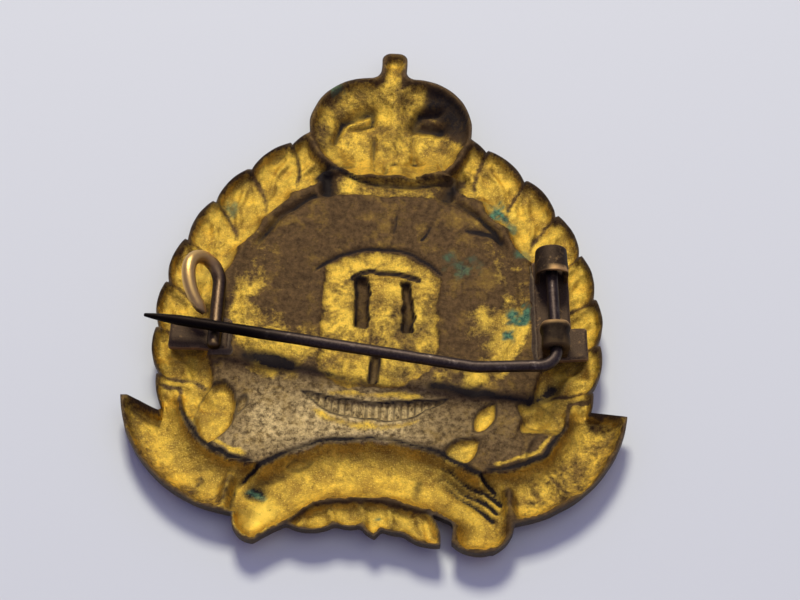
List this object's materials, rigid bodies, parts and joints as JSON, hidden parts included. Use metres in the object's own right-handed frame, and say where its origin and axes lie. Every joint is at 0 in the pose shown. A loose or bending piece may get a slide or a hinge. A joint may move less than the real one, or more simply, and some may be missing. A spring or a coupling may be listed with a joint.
{
  "type": "cap badge with brooch pin",
  "caption": "Hollow die-struck badge with a crown, a wreath, a ring and a scroll, and a hinged brooch pin and hook catch on its back.",
  "frame": {"origin": "centre of the badge's outline, on the plane that the front of the relief rests on", "axes": "+Z out of the back of the badge, +Y up to the crown, +X to the hinge"},
  "size_m": [0.045, 0.052, 0.0075],
  "materials": {
    "gilt_brass": "bright gilding brass in the hollows, brown tarnish on the flat ground, spots of verdigris",
    "old_brass": "dark brown patina, worn bright on the edges",
    "dark_wire": "dark brown patina with soft highlights",
    "hook_wire": "golden brown, rubbed smooth",
    "solder": "dull grey-brown soft solder"
  },
  "bodies": {
    "badge": {"badge_shell": "gilt_brass", "hinge_plate": "old_brass", "upper_knuckle": "old_brass", "lower_knuckle": "old_brass", "catch_plate": "old_brass", "catch_hook": "hook_wire", "hinge_solder": "solder", "catch_solder": "solder"},
    "pin": {"brooch_pin": "dark_wire"}
  },
  "joints": [
    {"name": "pin_swing", "type": "hinge", "parent": "badge", "child": "pin", "pos_m": [0.0156, -0.0019, 0.00536], "axis": [-0.0732, 0.9973, 0], "range_deg": [0, 150]}
  ]
}
